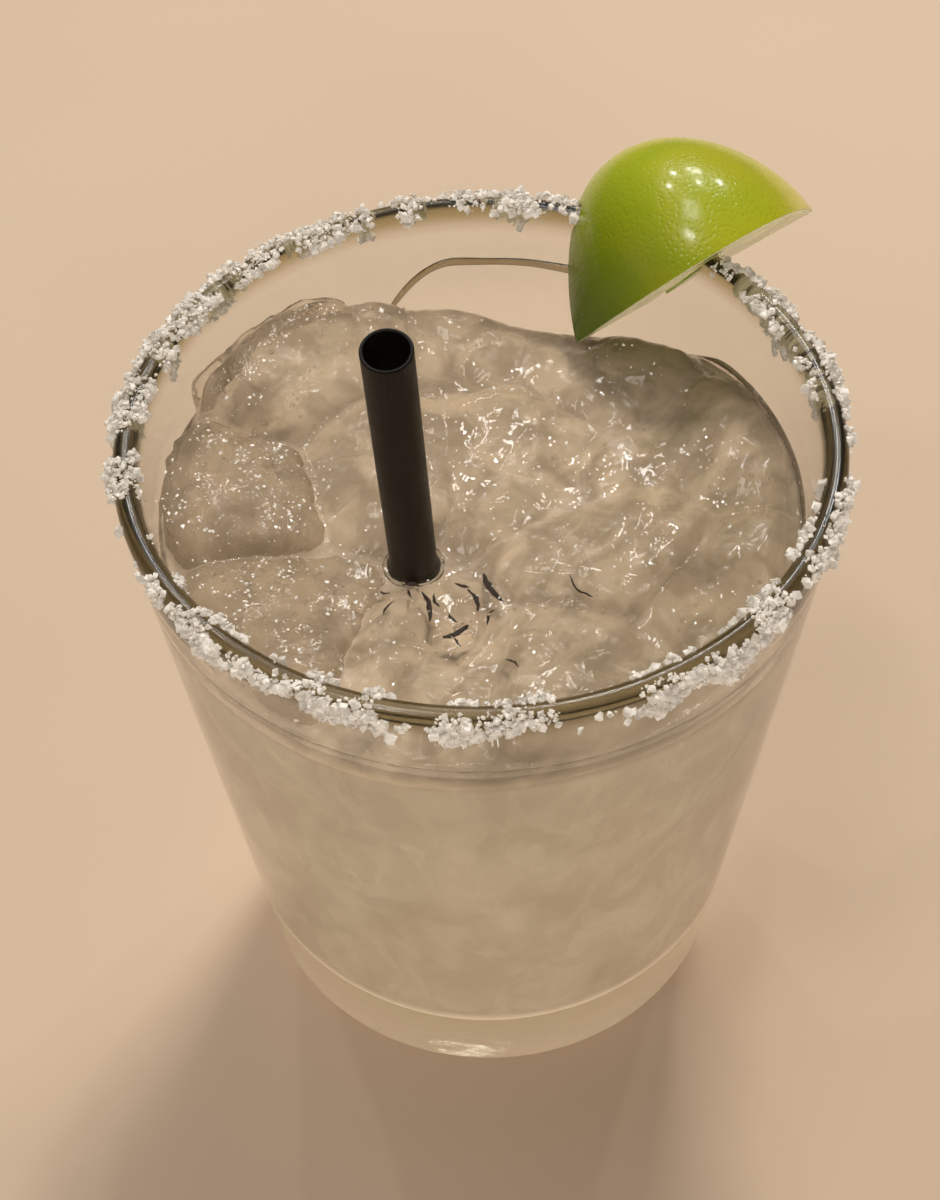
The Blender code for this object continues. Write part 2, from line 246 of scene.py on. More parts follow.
def ripple(point, size, seed=0.0):  # smooth noise from about -1 to 1, with waves about size long
    return noise.noise(point / size + Vector((seed, seed * 0.7, seed * 1.3)))


def clearPiece(obj):  # light between the other pieces passes it as if it wasn't there
    obj.visible_shadow = False
    obj.visible_diffuse = False
    return obj


def belongs(obj, slot, *nodes):  # nodes are those that the piece replaces
    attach(obj, "root")
    if nodes:
        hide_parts(*nodes)
    return obj


# Camera, placed as the photograph was taken

cameraView = {
    "back": 177.4, "height": 273.67, "lens": 63.0,
    "pitch": 49.74, "yaw": -0.58, "roll": -1.84,
}


def addCamera():
    pitch, yaw, roll = (math.radians(cameraView[name]) for name in ("pitch", "yaw", "roll"))
    level = math.cos(pitch)
    ahead = Vector((math.sin(yaw) * level, math.cos(yaw) * level, -math.sin(pitch)))
    right = ahead.cross(up).normalized()
    above = right.cross(ahead)
    tiltedRight = math.cos(roll) * right + math.sin(roll) * above
    tiltedUp = math.cos(roll) * above - math.sin(roll) * right
    data = bpy.data.cameras.new("camera")
    data.lens = cameraView["lens"]
    camera = inScene("camera", data)
    turn = Matrix((tiltedRight, tiltedUp, -ahead)).transposed().to_4x4()
    spot = Vector((0, -cameraView["back"], cameraView["height"])) * mm
    camera.matrix_world = Matrix.Translation(spot) @ turn
    bpy.context.scene.camera = camera


# Floor, light and surroundings

studio = {
    "floor": tone(188, 167, 145),
    "floorShade": tone(180, 158, 135),
    "floorSize": 3000.0,
    "floorDrop": 0.05,  # air under the glass
    "aim": Vector((0, 0, 80)),
    "worldLow": tone(196, 176, 154),
    "worldMid": tone(222, 208, 192),
    "worldHigh": tone(255, 250, 242),
    "worldSides": tone(92, 84, 66),  # dark to the left and right, which draws the glass's edges
    "worldStrength": 0.155,
    # name: place, size, power in watts, colour, whether wet surfaces mirror it
    "lamps": {
        "back key": ((150, 560, 820), (170, 130), 7.0, (1.0, 0.96, 0.9), False),
        "overhead box": ((-160, 40, 900), (260, 180), 1.0, (1.0, 0.98, 0.95), True),
        "front fill": ((90, -820, 230), (560, 200), 4.3, (1.0, 0.96, 0.91), False),
        "left fill": ((-700, -200, 260), (240, 300), 0.9, (1.0, 0.95, 0.88), False),
        "sheen box": ((60, 480, 560), (110, 70), 0.5, (1.0, 0.98, 0.95), True),
        "lime sheen": ((-172, -176, 585), (90, 50), 0.4, (1.0, 1.0, 0.97), True),
        "glint a": ((-120, 430, 560), (16, 16), 0.3, (1.0, 1.0, 1.0), True),
        "glint b": ((230, 380, 540), (16, 16), 0.3, (1.0, 1.0, 1.0), True),
        "glint c": ((60, 340, 640), (16, 16), 0.3, (1.0, 1.0, 1.0), True),
        "glint d": ((-220, 300, 620), (16, 16), 0.3, (1.0, 1.0, 1.0), True),
    },
}


def addFloor():
    size, drop = studio["floorSize"], -studio["floorDrop"]
    corners = [(-size, -size, drop), (size, -size, drop), (size, size, drop), (-size, size, drop)]
    material, shader, place = newMaterial("pale floor", Roughness=0.85)
    feed(shader, Base_Color=place.cloud(9.0, 2.0).mixed(studio["floor"], studio["floorShade"]))
    floor = addMesh("floor", corners, [(0, 1, 2, 3)], material, smooth=False)


def addWorld():
    world = bpy.data.worlds.new("studio")
    bpy.context.scene.world = world
    world.use_nodes = True
    tree = world.node_tree
    direction = Wire(tree, tree.nodes.new("ShaderNodeTexCoord").outputs["Generated"])
    height = direction.axis("Z")
    low = height.between(-0.1, 0.25).mixed(studio["worldLow"], studio["worldMid"])
    sky = height.between(0.15, 0.95).mixed(low, studio["worldHigh"])
    sides = abs(direction.axis("X")).between(0.72, 0.95)
    sky = (sides * (1 - height.between(0.1, 0.7))).mixed(sky, studio["worldSides"])
    background = tree.nodes["Background"]
    tree.links.new(sky.socket, background.inputs["Color"])
    background.inputs["Strength"].default_value = studio["worldStrength"]


def addLamps():
    for name, (place, (width, depth), power, colour, mirrored) in studio["lamps"].items():
        light = bpy.data.lights.new(name, "AREA")
        light.shape = "RECTANGLE"
        light.size = width * mm
        light.size_y = depth * mm
        light.energy = power
        light.color = colour
        lamp = inScene(name, light)
        lamp.location = Vector(place) * mm
        aim = studio["aim"] * mm - lamp.location
        lamp.rotation_euler = aim.to_track_quat("-Z", "Y").to_euler()
        lamp.visible_glossy = mirrored
        lamp.visible_transmission = mirrored


# Tumbler

tumbler = {
    "height": 96.0,
    "rimRadius": 44.0,
    "footRadius": 33.4,
    "rimWall": 2.8,
    "footWall": 3.6,
    "base": 12.0,
    "heelRound": 4.0,
    "wellRound": 6.0,
    "sides": 200,
    "waviness": 0.1,
    "tint": tone(162, 158, 114),
    "tintDensity": 14.0,
    "clearTone": (0.985, 0.985, 0.97, 1.0),
    "lipTint": tone(172, 160, 114),
    "lipMetres": (0.0915, 0.095),  # the heights over which the lip's tint sets in
    "lipDull": 0.2,
    "smearDull": 0.05,
}
taper = (tumbler["rimRadius"] - tumbler["footRadius"]) / tumbler["height"]
lean = math.degrees(math.atan(taper))


def outerRadius(height):
    return tumbler["footRadius"] + taper * height


# the half round of the lip
lipRadius = tumbler["rimWall"] / 2
lipHeight = tumbler["height"] - lipRadius
lipMiddle = outerRadius(lipHeight) - lipRadius


def innerRadius(height):
    share = (height - tumbler["base"]) / (tumbler["height"] - tumbler["base"])
    wall = tumbler["footWall"] + (tumbler["rimWall"] - tumbler["footWall"]) * share
    return outerRadius(height) - wall


def wellCorner(inset, steps):  # the round between the wall of the well and its floor
    height = tumbler["base"] + tumbler["wellRound"]
    radius = innerRadius(height) - tumbler["wellRound"] / math.cos(math.radians(lean))
    return arc((radius, height), tumbler["wellRound"] - inset, -lean, -90.0, steps)


def buildTumbler():
    heel = tumbler["heelRound"]
    heelCentre = (outerRadius(heel) - heel / math.cos(math.radians(lean)), heel)
    foot = arc(heelCentre, heel, -90.0, -lean, 10)
    lip = arc((lipMiddle, lipHeight), lipRadius, 0.0, 180.0, 14)
    well = wellCorner(0, 12)
    floor = tumbler["base"]
    profile = [(0, 0), (foot[0][0] * 0.5, 0)] + foot[:-1]
    profile += straight(foot[-1], lip[0], 24) + lip[:-1]
    profile += straight(lip[-1], well[0], 24) + well
    profile += [(well[-1][0] * 0.5, floor), (0, floor)]

    def wobble(angle, radius, height):  # blown glass is never quite even
        depth = min(1.0, (tumbler["height"] - height) / 14, height / 14)
        around = Vector((math.cos(angle), math.sin(angle), height / 60)) * radius
        return tumbler["waviness"] * max(0.0, depth) * ripple(around, 24.0, 3.0)

    material, shader, place = newMaterial("tumbler glass", IOR=1.5, Transmission_Weight=1.0)
    nearLip = place.axis("Z").between(*tumbler["lipMetres"])
    smear = place.cloud(90.0, 1.0).between(0.5, 0.75)
    feed(shader, Base_Color=nearLip.mixed(tumbler["clearTone"], tumbler["lipTint"]))
    feed(shader, Roughness=smear * tumbler["smearDull"] + nearLip * tumbler["lipDull"])
    absorb(material, tumbler["tint"], tumbler["tintDensity"])
    glass = addMesh("tumbler", *turned(profile, tumbler["sides"], wobble=wobble), material)
    return belongs(clearPiece(glass), "glass", "glass")


# Salt on the rim

salt = {
    "seed": 5,
    "templates": 16,
    "crystals": 8200,
    "mostTries": 60000,
    "sizes": (0.2, 0.85),
    "outsideHang": 7.4,
    "insideHang": 3.0,
    "thickest": 1.15,
    "cover": 0.52,
    "clumpiness": 1.05,
    "bareArcs": ((-166.0, -151.0), (-105.0, -98.0), (-79.0, -69.0), (-12.0, -4.0)),
    "thinArc": (85.0, 192.0),
    "thinLoss": 0.1,
    "rubbedArc": (-150.0, 35.0),  # in front the lip's top is rubbed nearly clean
    "rubbed": 0.95,
    "rubbedElsewhere": 0.4,
    "boxMargin": 0.1,
    "farthestRight": 45.6,
    "tones": (tone(160, 152, 142), tone(206, 199, 190)),
    # painted light: the salt emits a little, which lifts its shaded side
    "paintedGlowTones": (tone(150, 138, 122), tone(176, 166, 152)),
    "paintedGlow": 0.36,
}


def onRim(bearing, along, lift):  # along runs outwards over the lip from its top, in millimetres
    quarter = lipRadius * math.pi / 2
    if abs(along) < quarter:
        angle = along / lipRadius
        radius = lipMiddle + (lipRadius + lift) * math.sin(angle)
        height = lipHeight + (lipRadius + lift) * math.cos(angle)
    else:
        height = lipHeight - (abs(along) - quarter)
        radius = outerRadius(height) + lift if along > 0 else innerRadius(height) - lift
    turn = math.radians(bearing)
    return Vector((radius * math.cos(turn), radius * math.sin(turn), height))


def saltDepth(bearing, along):  # how thick the salt lies there, 0 where the glass is bare
    around = (bearing + 180.0) % 360.0 - 180.0
    turn = math.radians(bearing)
    spot = Vector((math.cos(turn), math.sin(turn), 0)) * tumbler["rimRadius"] + up * along
    clumps = ripple(spot, 4.2, 9.0) + 0.6 * ripple(spot, 1.7, 4.0)
    cover = salt["cover"] + salt["clumpiness"] * clumps
    for low, high in salt["bareArcs"]:
        edge = min(around - low, high - around)
        cover -= limited(0.6 + edge / 2.5) * (1.1 if along < 2.2 else 0.35)
    if salt["thinArc"][0] < bearing % 360.0 < salt["thinArc"][1]:
        cover -= salt["thinLoss"]
    if along > 0:
        hang = salt["outsideHang"] * (0.6 + 0.7 * ripple(spot - up * along, 5.5, 1.0))
        cover -= max(0.0, along / max(hang, 2.4) - 0.6) * 2.2
    else:
        cover -= max(0.0, -along / salt["insideHang"] - 0.4) * 1.6
    inFront = salt["rubbedArc"][0] < around < salt["rubbedArc"][1]
    rubbed = salt["rubbed"] if inFront else salt["rubbedElsewhere"]
    cover -= rubbed * max(0.0, 1 - abs(along + 0.2) / 1.5)
    return limited(cover) * salt["thickest"]


def crystalTemplates(draw):  # broken cubes, as point and face lists about one unit across
    shapes = []
    for _ in range(salt["templates"]):
        bm = bmesh.new()
        for corner in range(8):
            place = Vector([0.5 if corner >> axis & 1 else -0.5 for axis in range(3)])
            bm.verts.new(place + Vector([draw.uniform(-0.2, 0.2) for _ in range(3)]))
        for _ in range(draw.choice((2, 3, 4))):
            way = Vector([draw.gauss(0, 1) for _ in range(3)]).normalized()
            bm.verts.new(way * draw.uniform(0.6, 0.75))
        hull = bmesh.ops.convex_hull(bm, input=bm.verts)
        inside = {part for part in hull["geom_interior"] if isinstance(part, bmesh.types.BMVert)}
        bmesh.ops.delete(bm, geom=list(inside), context="VERTS")
        bm.verts.index_update()
        points = np.array([vert.co for vert in bm.verts])
        shapes.append((points, [[vert.index for vert in face.verts] for face in bm.faces]))
        bm.free()
    return shapes


def scattered(name, shapes, spots, material, smooth=False):
    # each spot is a place, size, squash, turn and shape number
    points, faces, start = [], [], 0
    for place, size, squash, turn, number in spots:
        shape, shapeFaces = shapes[number]
        placed = (shape * size * np.array(squash)) @ np.array(turn.to_matrix()).T + np.array(place)
        points.extend(placed.tolist())
        faces.extend([[start + index for index in face] for face in shapeFaces])
        start += len(shape)
    return addMesh(name, points, faces, material, smooth)


def anyTurn(draw):
    axis = Vector([draw.gauss(0, 1) for _ in range(3)]).normalized()
    return Matrix.Rotation(draw.uniform(0, math.tau), 3, axis).to_quaternion()


def buildSalt():
    draw = random.Random(salt["seed"])
    shapes = crystalTemplates(draw)
    leftmost, nearest = cadBounds[0][0] / mm, cadBounds[0][1] / mm
    smallest, largest = salt["sizes"]
    spots = []
    tries = 0
    while len(spots) < salt["crystals"] and tries < salt["mostTries"]:
        tries += 1
        bearing = draw.uniform(-180, 180)
        along = draw.uniform(-salt["insideHang"], salt["outsideHang"])
        depth = saltDepth(bearing, along)
        if depth <= 0.02 or draw.random() > 0.25 + depth:
            continue
        size = smallest + (largest - smallest) * draw.random() ** 2.0
        size *= 0.75 if abs(along) < 1.4 else 1.1
        place = onRim(bearing, along, size * 0.2 + depth * draw.random() ** 1.4)
        if not limeClear(place, size):
            continue
        reach = size * 0.75 + salt["boxMargin"]
        if place.x - reach < leftmost or place.y - reach < nearest:
            continue
        if place.x + reach > salt["farthestRight"]:
            continue
        squash = (draw.uniform(0.8, 1.25), draw.uniform(0.8, 1.1), draw.uniform(0.6, 1.0))
        spots.append((place, size, squash, anyTurn(draw), draw.randrange(len(shapes))))
    look = {"Roughness": 0.28, "IOR": 1.54, "Emission_Strength": salt["paintedGlow"]}
    material, shader, place = newMaterial("rim salt", **look)
    shade = place.cloud(900.0, 2.0)
    feed(shader, Base_Color=shade.between(0.3, 0.7).mixed(*salt["tones"]))
    # painted light: the emission lifts the salt's shade
    feed(shader, Emission_Color=shade.mixed(*salt["paintedGlowTones"]))
    feed(shader, Normal=place.cloud(2600.0, 2.0).bump(0.35, 0.0001))
    grains = scattered("rim_salt", shapes, spots, material)
    print("salt crystals:", len(spots))
    return belongs(grains, "salt", "glass")


# Drink

drink = {
    "level": 83.0,
    "meniscusRise": 0.9,
    "meniscusWidth": 3.0,
    "intoWall": 0.12,
    "rings": 110,
    "sides": 360,
    "paintedGlow": (0.5, 0.4, 0.29, 1.0),  # painted glow: emission on the cloudy drink's underside stands in for light carried down to it
    # the clear wet layer over the ice, and how far under it the cloudy drink begins
    "wetLayer": 0.55,
    "overFrosted": 0.95,  # share of the frosted pieces' height that the wet layer follows
    "filmWidth": 2.5,  # how far from the wall the layer takes on the ice's height
    "clearDepth": 0.75,
    "underIce": 0.75,  # share of the ice's height that the cloudy drink follows
    "layerFoot": 3.0,
    # height, length and seed of the waves
    "waves": ((0.6, 8.5, 2.0), (0.26, 3.6, 6.0), (0.04, 1.4, 8.0)),
    # x, y, radius and height of each lump of the wet layer
    "lumps": (
        (-26.0, 22.0, 7.5, 1.7), (-14.0, 28.0, 6.0, 1.4), (-2.0, 31.0, 6.0, 1.3),
        (-34.0, 8.0, 5.0, 1.0), (5.0, 22.0, 6.5, 0.9), (-16.0, 12.0, 6.0, 0.9),
        (22.0, 24.0, 7.0, 0.9), (20.0, 4.0, 8.0, 0.8),
    ),
    # the heap of ice stands clear of the wall at the back, where the drink slopes down
    "dipEdge": 31.5,
    "dipBearing": 75.0,
    "dipLean": 44.0,
    "dipRound": 1.2,
    "dipFoot": 58.0,
    "softened": 1.0,
    "gridStep": 0.5,
    "layerTone": tone(238, 234, 232),
    # painted shade and light: the sides take lighter tones and the top darker ones, which evens out
    # how the lamps light them
    "sideTones": (tone(203, 179, 150), tone(224, 202, 172)),
    "topTones": (tone(148, 131, 109), tone(178, 159, 134)),
    # tones of the streaks' painted light and shade; the dark one is also the painted shade by the
    # wall
    "paleTone": tone(200, 181, 154),
    "darkTone": tone(118, 104, 82),
    "topMetres": (0.0785, 0.0815),
    "footMetres": (0.0125, 0.017),
    "grainyMetres": (-0.024, -0.008),  # crushed ice lies on the left
    "streakyMetres": (-0.012, 0.022),
    "wallShadeMetres": (0.006, 0.034),  # painted shade: darker towards the wall there, where less light comes back
    # clear ice as x, y, radius and how much further down the cloudy drink begins
    "clearSpots": ((-4.0, -20.0, 7.5, 3.0), (-31.0, 14.0, 6.0, 4.0), (27.0, -16.0, 7.0, 3.0)),
}
drinkEdge = innerRadius(drink["level"] + drink["meniscusRise"]) + drink["intoWall"]


def softened(grid, reach):  # the grid blurred by about reach cells
    kernel = np.exp(-0.5 * (np.arange(-3 * reach, 3 * reach + 1) / reach) ** 2)
    kernel /= kernel.sum()
    for _ in range(2):
        grid = np.array([np.convolve(row, kernel, "same") for row in grid]).T
    return grid


def heightsOf(pieces):  # looks up how high the pieces stand over the drink's level, softened
    step = drink["gridStep"]
    half = int(tumbler["rimRadius"] / step)
    heights = np.zeros((2 * half + 1, 2 * half + 1))
    graph = bpy.context.evaluated_depsgraph_get()
    for piece in pieces:
        tree = BVHTree.FromObject(piece, graph)
        corners = np.array([vert.co for vert in piece.data.vertices]) / mm / step + half
        low, high = corners.min(0).astype(int), corners.max(0).astype(int) + 1
        for column in range(low[0], high[0] + 1):
            for row in range(low[1], high[1] + 1):
                above = Vector(((column - half) * step, (row - half) * step, 120)) * mm
                hit = tree.ray_cast(above, -up)[0]
                if hit is not None:
                    height = hit.z / mm - drink["level"]
                    heights[column, row] = max(heights[column, row], height)
    heights = softened(heights, drink["softened"] / step)

    def lookUp(x, y):
        column, row = x / step + half, y / step + half
        left, below = int(column), int(row)
        right, top = column - left, row - below
        near = heights[left, below] * (1 - right) + heights[left + 1, below] * right
        far = heights[left, below + 1] * (1 - right) + heights[left + 1, below + 1] * right
        return near * (1 - top) + far * top

    return lookUp


def heapHeight(clearPieces, frostedPieces):  # the height that the wet layer follows over the ice
    clear, frosted = heightsOf(clearPieces), heightsOf(frostedPieces)
    return lambda x, y: clear(x, y) + drink["overFrosted"] * frosted(x, y)


def dipAt(x, y):  # how far the surface lies under the level there
    turn = math.radians(drink["dipBearing"])
    past = x * math.cos(turn) + y * math.sin(turn) - drink["dipEdge"]
    eased = 0.5 * (past + math.hypot(past, drink["dipRound"]))
    return eased * math.tan(math.radians(drink["dipLean"])) if past > -4 else 0.0


def lowered(x, y, z):  # a point of the drink moved down with the dip, and in with the wall
    share = (z - drink["dipFoot"]) / (drink["level"] - drink["dipFoot"])
    dip = dipAt(x, y) * limited(share)
    inwards = 1 - taper * dip / drinkEdge
    return x * inwards, y * inwards, z - dip


def wetHeight(x, y, iceHeight):  # the height of the wet surface over the drink and the ice
    spot = Vector((x, y, 0))
    fromWall = drinkEdge - spot.length
    inside = limited(fromWall / 5)
    across = Vector((0.25 * (0.55 * x + 0.83 * y), 0.83 * x - 0.55 * y, 0))
    streaky = max(0.25, min(1.0, 0.5 + (x - y) / 40))
    relief = sum(height * ripple(spot, size, seed) for height, size, seed in drink["waves"])
    relief += 0.9 * streaky * (0.25 - abs(ripple(across, 3.0, 5.0)))
    for lumpX, lumpY, reach, height in drink["lumps"]:
        share = max(0.0, 1 - ((x - lumpX) ** 2 + (y - lumpY) ** 2) / reach ** 2)
        relief += height * math.sqrt(share) if share < 0.25 else height * (0.25 + share)
    rise = drink["meniscusRise"] * max(0.0, 1 - fromWall / drink["meniscusWidth"]) ** 2
    calm = max(0.0, 1 - dipAt(x, y) / 3)  # the slope is even
    overIce = min(1.0, fromWall / drink["filmWidth"]) * iceHeight(x, y)
    film = inside * (drink["wetLayer"] + calm * relief)
    return drink["level"] + rise + film + max(0.0, overIce)


def alongIce(place):  # in front on the right the broken ice lies in long streaks
    x, y = place.axis("X"), place.axis("Y")
    drawn = {"X": (x * 0.55 + y * 0.83) * 0.26, "Y": x * 0.83 - y * 0.55, "Z": place.axis("Z")}
    streaks = place.node("CombineXYZ", None, drawn).cloud(300.0, 3.0, 0.5, 0.7)
    return streaks, (x - y).between(*drink["streakyMetres"])


def buildWetLayer(iceHeight):
    edge, level = drinkEdge, drink["level"]
    surface = [(edge * ring / drink["rings"], level) for ring in range(drink["rings"] + 1)]
    foot = level - drink["layerFoot"]
    low = level - drink["clearDepth"]
    side = [(edge, low), (edge - 0.6, low - 0.3), (edge - 1.0, foot), (0, foot)]
    points, faces = turned(surface + side, drink["sides"])
    points = [lowered(x, y, wetHeight(x, y, iceHeight) if z == level else z) for x, y, z in points]
    look = {"IOR": 1.33, "Roughness": 0.015, "Transmission_Weight": 1.0}
    material, shader, place = newMaterial("wet layer", Base_Color=drink["layerTone"], **look)
    wrinkles = place.stretched(1, 0.6, 1).cloud(330.0, 3.0, 0.5, 0.8)
    grainy = 1 - place.axis("X").between(*drink["grainyMetres"])
    streaks, share = alongIce(place)
    relief = wrinkles + streaks * share + grainy * place.cloud(950.0, 2.0) * 0.6
    feed(shader, Normal=relief.bump(0.42, 0.0008))
    layer = addMesh("wet_layer", points, faces, material)
    return belongs(clearPiece(layer), "drink", "drink")


def buildDrink(iceHeight):
    level = drink["level"] - drink["clearDepth"]
    edge = innerRadius(level) + drink["intoWall"]
    corner = wellCorner(-drink["intoWall"], 10)
    surface = [(edge * ring / drink["rings"], level) for ring in range(drink["rings"])]
    side = straight((edge, level), corner[0], 20)
    floor = tumbler["base"] - drink["intoWall"]
    points, faces = turned(surface + side[1:] + corner + [(0, floor)], drink["sides"])
    shaped = []
    for x, y, z in points:
        if z == level:
            spot = Vector((x, y, 0))
            inside = min(1.0, (edge - spot.length) / 4)
            waves = 0.5 * ripple(spot, 7.0, 3.0)
            z += inside * (drink["underIce"] * iceHeight(x, y) - 0.5 + waves)
            for deepX, deepY, reach, depth in drink["clearSpots"]:
                share = max(0.0, 1 - math.hypot(x - deepX, y - deepY) / reach)
                z -= depth * inside * share * share * (3 - 2 * share)
        shaped.append(lowered(x, y, z))
    return belongs(addMesh("drink_body", shaped, faces, drinkMaterial()), "drink", "drink")


def drinkMaterial():
    look = {"IOR": 1.34, "Roughness": 0.08, "Transmission_Weight": 0.05, "Emission_Strength": 1.0}
    material, shader, place = newMaterial("cloudy drink", **look)
    murk = place.cloud(70.0, 4.0, 0.55, 0.6)
    streaks = place.stretched(1, 1, 0.6).cloud(150.0, 3.0, 0.5, 1.4)
    shade = murk.between(0.3, 0.7) * 0.6 + streaks.between(0.42, 0.62) * 0.4
    top = place.cloud(150.0, 3.0, 0.55, 0.8).between(0.35, 0.65).mixed(*drink["topTones"])
    # pale and dark streaks along the broken ice: partly the ice's own streaks, partly painted light
    # and shade on them
    pale, share = alongIce(place)
    top = (pale.between(0.5, 0.68) * share * 0.4).mixed(top, drink["paleTone"])
    top = ((1 - pale).between(0.5, 0.68) * share * 0.35).mixed(top, drink["darkTone"])
    # painted shade: the top darkens towards the wall on the front right
    wallShade = (place.axis("X") * 0.8 - place.axis("Y") * 0.5).between(*drink["wallShadeMetres"])
    top = (wallShade * 0.5).mixed(top, drink["darkTone"])
    # painted shade and light: darker tones at the top, lighter ones down the sides
    nearTop = place.axis("Z").between(*drink["topMetres"])
    feed(shader, Base_Color=nearTop.mixed(shade.mixed(*drink["sideTones"]), top))
    wrinkles = place.stretched(1, 1, 1.7).cloud(330.0, 4.0, 0.55, 0.9)
    feed(shader, Normal=(streaks + wrinkles * 0.35).bump(0.3, 0.0009))
    # painted glow: the underside emits, standing in for light carried down through the drink
    underside = 1 - place.axis("Z").between(*drink["footMetres"])
    feed(shader, Emission_Color=underside.mixed((0, 0, 0, 1), drink["paintedGlow"]))
    return material


# Ice

ice = {
    "voxel": 0.5,
    "smoothing": 9,
    "count": 12,
    "swell": 0.55,
    "frosted": (1, 2),
    "streaked": (9, 10, 11),
    # density is how strongly the ice bends light where it lies in the wet layer
    "clearLook": {
        "density": 1.12, "clear": 1.0, "tones": (tone(246, 243, 236), tone(226, 216, 202)),
        "cloudFrom": (0.58, 0.78), "dull": 0.1, "ridges": 0.7, "grains": 0.05,
    },
    "frostedLook": {
        "density": 1.14, "clear": 0.85, "tones": (tone(158, 146, 127), tone(182, 168, 148)),
        "cloudFrom": (0.2, 0.58), "dull": 0.2, "ridges": 0.5, "grains": 0.7,
    },
    "bubbles": 240,
    "bubbleSizes": (0.2, 0.7),
    "bubbleSeed": 3,
    "bubbleTones": (tone(240, 236, 228), tone(255, 252, 246)),
    "glints": 2600,
    "glintSizes": (0.1, 0.34),
    "surfaceGlints": 460,
    "glintSeed": 21,
    "glintTones": (tone(205, 196, 184), tone(250, 246, 240)),
}


def iceMaterial(name, look):
    body = {"IOR": look["density"], "Transmission_Weight": look["clear"]}
    material, shader, place = newMaterial(name, **body)
    patches = place.cloud(95.0, 4.0, 0.6, 0.5)
    grains = place.cloud(1100.0, 3.0, 0.6)
    ridges = place.stretched(1.0, 0.3, 0.5).cloud(260.0, 2.0, 0.5, 1.0)
    cloudy = patches.between(*look["cloudFrom"])
    feed(shader, Base_Color=cloudy.mixed(*look["tones"]))
    feed(shader, Roughness=cloudy * look["dull"] + 0.02 + look["dull"] * 0.4)
    relief = patches * 0.3 + ridges * look["ridges"] + grains * look["grains"]
    feed(shader, Normal=relief.bump(0.45, 0.0010))
    return material


def buildIce():
    clear = iceMaterial("clear ice", ice["clearLook"])
    frosted = iceMaterial("frosted ice", ice["frostedLook"])
    clearPieces, frostedPieces = [], []
    for number in range(1, ice["count"] + 1):
        node = f"ice_{number:02d}"
        isFrosted = number in ice["frosted"]
        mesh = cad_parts[node].data.copy()
        mesh.materials.clear()
        mesh.materials.append(frosted if isFrosted else clear)
        piece = inScene(f"ice_piece_{number:02d}", mesh)
        weld = piece.modifiers.new("weld", "WELD")
        weld.merge_threshold = 0.00001
        remesh = piece.modifiers.new("even faces", "REMESH")
        remesh.mode = "VOXEL"
        remesh.voxel_size = ice["voxel"] * mm
        smooth = piece.modifiers.new("melt", "SMOOTH")
        smooth.iterations = ice["smoothing"] * (2 if isFrosted else 1)
        applyModifiers(piece)
        frostiness = 1.0 if isFrosted else 0.0
        streakiness = 1.0 if number in ice["streaked"] else 0.35

        def melt(point):
            long = Vector((point.x + 0.5 * point.y, 0.4 * point.y, 0.6 * point.z))
            waves = 0.65 * ripple(point, 7.5, number) + 0.35 * ripple(point, 3.2, number + 5)
            ridge = 0.4 - abs(ripple(long, 2.3, number))
            grain = 0.07 * ripple(point, 1.3)
            grain += frostiness * (0.5 * ripple(point, 1.7, 3.0) + 0.25 * ripple(point, 0.8))
            return ice["swell"] + waves + 0.5 * streakiness * ridge + grain

        pushOut(piece, melt)
        piece.data.shade_smooth()
        belongs(clearPiece(piece), "ice", node)
        (frostedPieces if isFrosted else clearPieces).append(piece)
    print("ice pieces:", len(clearPieces) + len(frostedPieces))
    return clearPieces, frostedPieces


def anywhere(draw):  # a spot on the drink's surface, well off the wall
    reach = (drinkEdge - 3.0) * math.sqrt(draw.random())
    turn = draw.uniform(0, math.tau)
    return reach * math.cos(turn), reach * math.sin(turn)


def buildGlints(pieces, iceHeight):  # specks of broken ice that catch the light
    draw = random.Random(ice["glintSeed"])
    shapes = crystalTemplates(draw)
    spots = []
    graph = bpy.context.evaluated_depsgraph_get()
    for piece in pieces:
        tree = BVHTree.FromObject(piece, graph)
        corners = np.array([vert.co for vert in piece.data.vertices])
        low, high = corners.min(0), corners.max(0)
        for _ in range(ice["glints"] // len(pieces)):
            above = Vector((draw.uniform(low[0], high[0]), draw.uniform(low[1], high[1]), 0.12))
            hit = tree.ray_cast(above, -up)[0]
            if hit is None or hit.z < (drink["level"] + 0.4) * mm:
                continue
            size = draw.uniform(*ice["glintSizes"])
            if draw.random() > 0.12 + 0.9 * ripple(hit / mm, 4.5, 6.0):
                continue
            squash = (1.3, 1, 0.7)
            spots.append((hit / mm, size, squash, anyTurn(draw), draw.randrange(len(shapes))))
    wanted = len(spots) + ice["surfaceGlints"]
    while len(spots) < wanted:
        x, y = anywhere(draw)
        crowd = 0.06 + ripple(Vector((x, y, 0)), 6.0, 4.0) + (0.3 if x < -12 else 0.0)
        if draw.random() > crowd or dipAt(x, y) > 1.5:
            continue
        size = draw.uniform(*ice["glintSizes"]) * draw.uniform(0.5, 1.0)
        place = Vector((x, y, wetHeight(x, y, iceHeight) - dipAt(x, y) + 0.1 * size))
        spots.append((place, size, (1.4, 1, 0.6), anyTurn(draw), draw.randrange(len(shapes))))
    material, shader, place = newMaterial("ice glints", Roughness=0.04, IOR=1.5)
    # near-white specks: partly the frost's own white, partly painted glint
    feed(shader, Base_Color=place.cloud(800.0).mixed(*ice["glintTones"]))
    return belongs(scattered("ice_glints", shapes, spots, material), "ice")


def ball(sides, rings):  # a ball one unit across
    end = 90 - 180 / rings
    points, faces = turned([(0, -0.5)] + arc((0, 0), 0.5, -end, end, rings - 2) + [(0, 0.5)], sides)
    return np.array(points), faces


